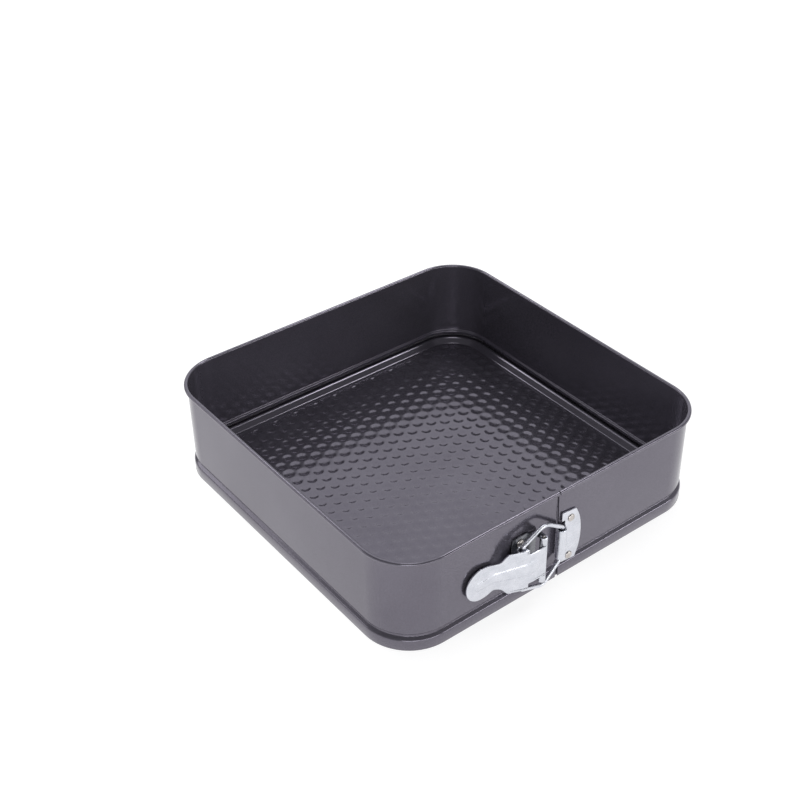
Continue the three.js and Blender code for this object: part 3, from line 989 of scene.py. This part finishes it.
# ================= Stage =================
def camera():
    """The camera, turned by its azimuth, elevation and roll."""
    data = bpy.data.cameras.new("camera")
    data.lens = CAMERA_LENS
    data.sensor_width = 36
    data.clip_start, data.clip_end = 0.01, 20
    holder = bpy.data.objects.new("camera", data)
    bpy.context.scene.collection.objects.link(holder)
    azimuth, elevation, roll = (math.radians(a) for a in (CAMERA_AZIMUTH, CAMERA_ELEVATION, CAMERA_ROLL))
    back = Vector((math.sin(azimuth) * math.cos(elevation), -math.cos(azimuth) * math.cos(elevation),
                   math.sin(elevation)))
    side = Vector((0, 0, 1)).cross(back).normalized()
    up = back.cross(side)
    right = side * math.cos(roll) + up * math.sin(roll)
    top = up * math.cos(roll) - side * math.sin(roll)
    x, y, z = CAMERA_OFFSET
    turned = Matrix((right, top, back)).transposed().to_4x4()
    holder.matrix_world = Matrix.Translation(Vector((x, y + PAN_Y, z)) * MM) @ turned
    bpy.context.scene.camera = holder


def area_light(light_name, place, turns, size, power):
    """A rectangular softbox; with no turns about X, Y and Z it faces straight down."""
    data = bpy.data.lights.new(light_name, "AREA")
    data.shape = "RECTANGLE"
    data.size, data.size_y = size
    data.energy = power
    light = bpy.data.objects.new(light_name, data)
    bpy.context.scene.collection.objects.link(light)
    light.location = place
    light.rotation_euler = [math.radians(turn) for turn in turns]


def pale_table():
    """A white table whose emission is painted light: it glows a little more on the pan's left than in front
    of it, standing in for a brighter light on that side.
    """
    n = Nodes(bpy.data.materials.new("pale_floor"))
    n.link(n.ramp(n.noise(3, 2), (0.3, 0.29), (0.7, 0.31)), n.shader.inputs["Base Color"])
    n.shader.inputs["Roughness"].default_value = 0.8
    n.shader.inputs["Specular IOR Level"].default_value = 0.2
    n.shader.inputs["Emission Color"].default_value = (1, 1, 1, 1)
    # painted light: the emission is stronger on the pan's left, in place of a brighter lamp there
    glow = n.fade(n.along((-0.7, 0.7, 0)), (-0.06, 0.06), TABLE_GLOW)
    n.link(glow, n.shader.inputs["Emission Strength"])
    return n.owner


def table():
    mesh = bpy.data.meshes.new("floor")
    reach = TABLE_REACH
    corners = [(-reach, -reach, 0), (reach, -reach, 0), (reach, reach, 0), (-reach, reach, 0)]
    mesh.from_pydata(corners, [], [(0, 1, 2, 3)])
    mesh.materials.append(pale_table())
    floor = bpy.data.objects.new("floor", mesh)
    bpy.context.scene.collection.objects.link(floor)


def sky():
    """A dim room, a little brighter near the table, and a bright backdrop that rises behind the pan."""
    n = Nodes(bpy.data.worlds.new("studio"), "Background", "Generated")
    near, far = (math.cos(math.radians(angle)) for angle in BACKDROP_FADE)
    low, high = (math.sin(math.radians(angle)) for angle in HORIZON_FADE)
    backdrop = n.fade(n.along(BACKDROP_TOWARD), (far, near), (0, BACKDROP_LEVEL))
    room = n.fade(n.along((0, 0, 1)), (low, high), (HORIZON_LEVEL, ROOM_LEVEL))
    brightest = n.add("ShaderNodeMath", operation="MAXIMUM")
    n.link(backdrop, brightest.inputs[0])
    n.link(room, brightest.inputs[1])
    n.link(brightest.outputs["Value"], n.shader.inputs["Strength"])
    n.shader.inputs["Color"].default_value = (0.97, 0.98, 1.0, 1)
    bpy.context.scene.world = n.owner


def stage():
    table()
    for side, (place, turns, size, power) in SOFTBOXES.items():
        area_light(f"{side}_softbox", place, turns, size, power)
    sky()


bpy.context.scene.view_settings.view_transform = "Standard"
camera()
stage()
coating = coating_material()
base_plate(coating)
band_pieces(coating)
# the bracket's zinc carries painted shade: darker within about 2.5 mm of the wall, under the lever
latch_pieces(zinc_material("zinc_plate"), zinc_material("bracket_zinc", 2.5), steel_material())
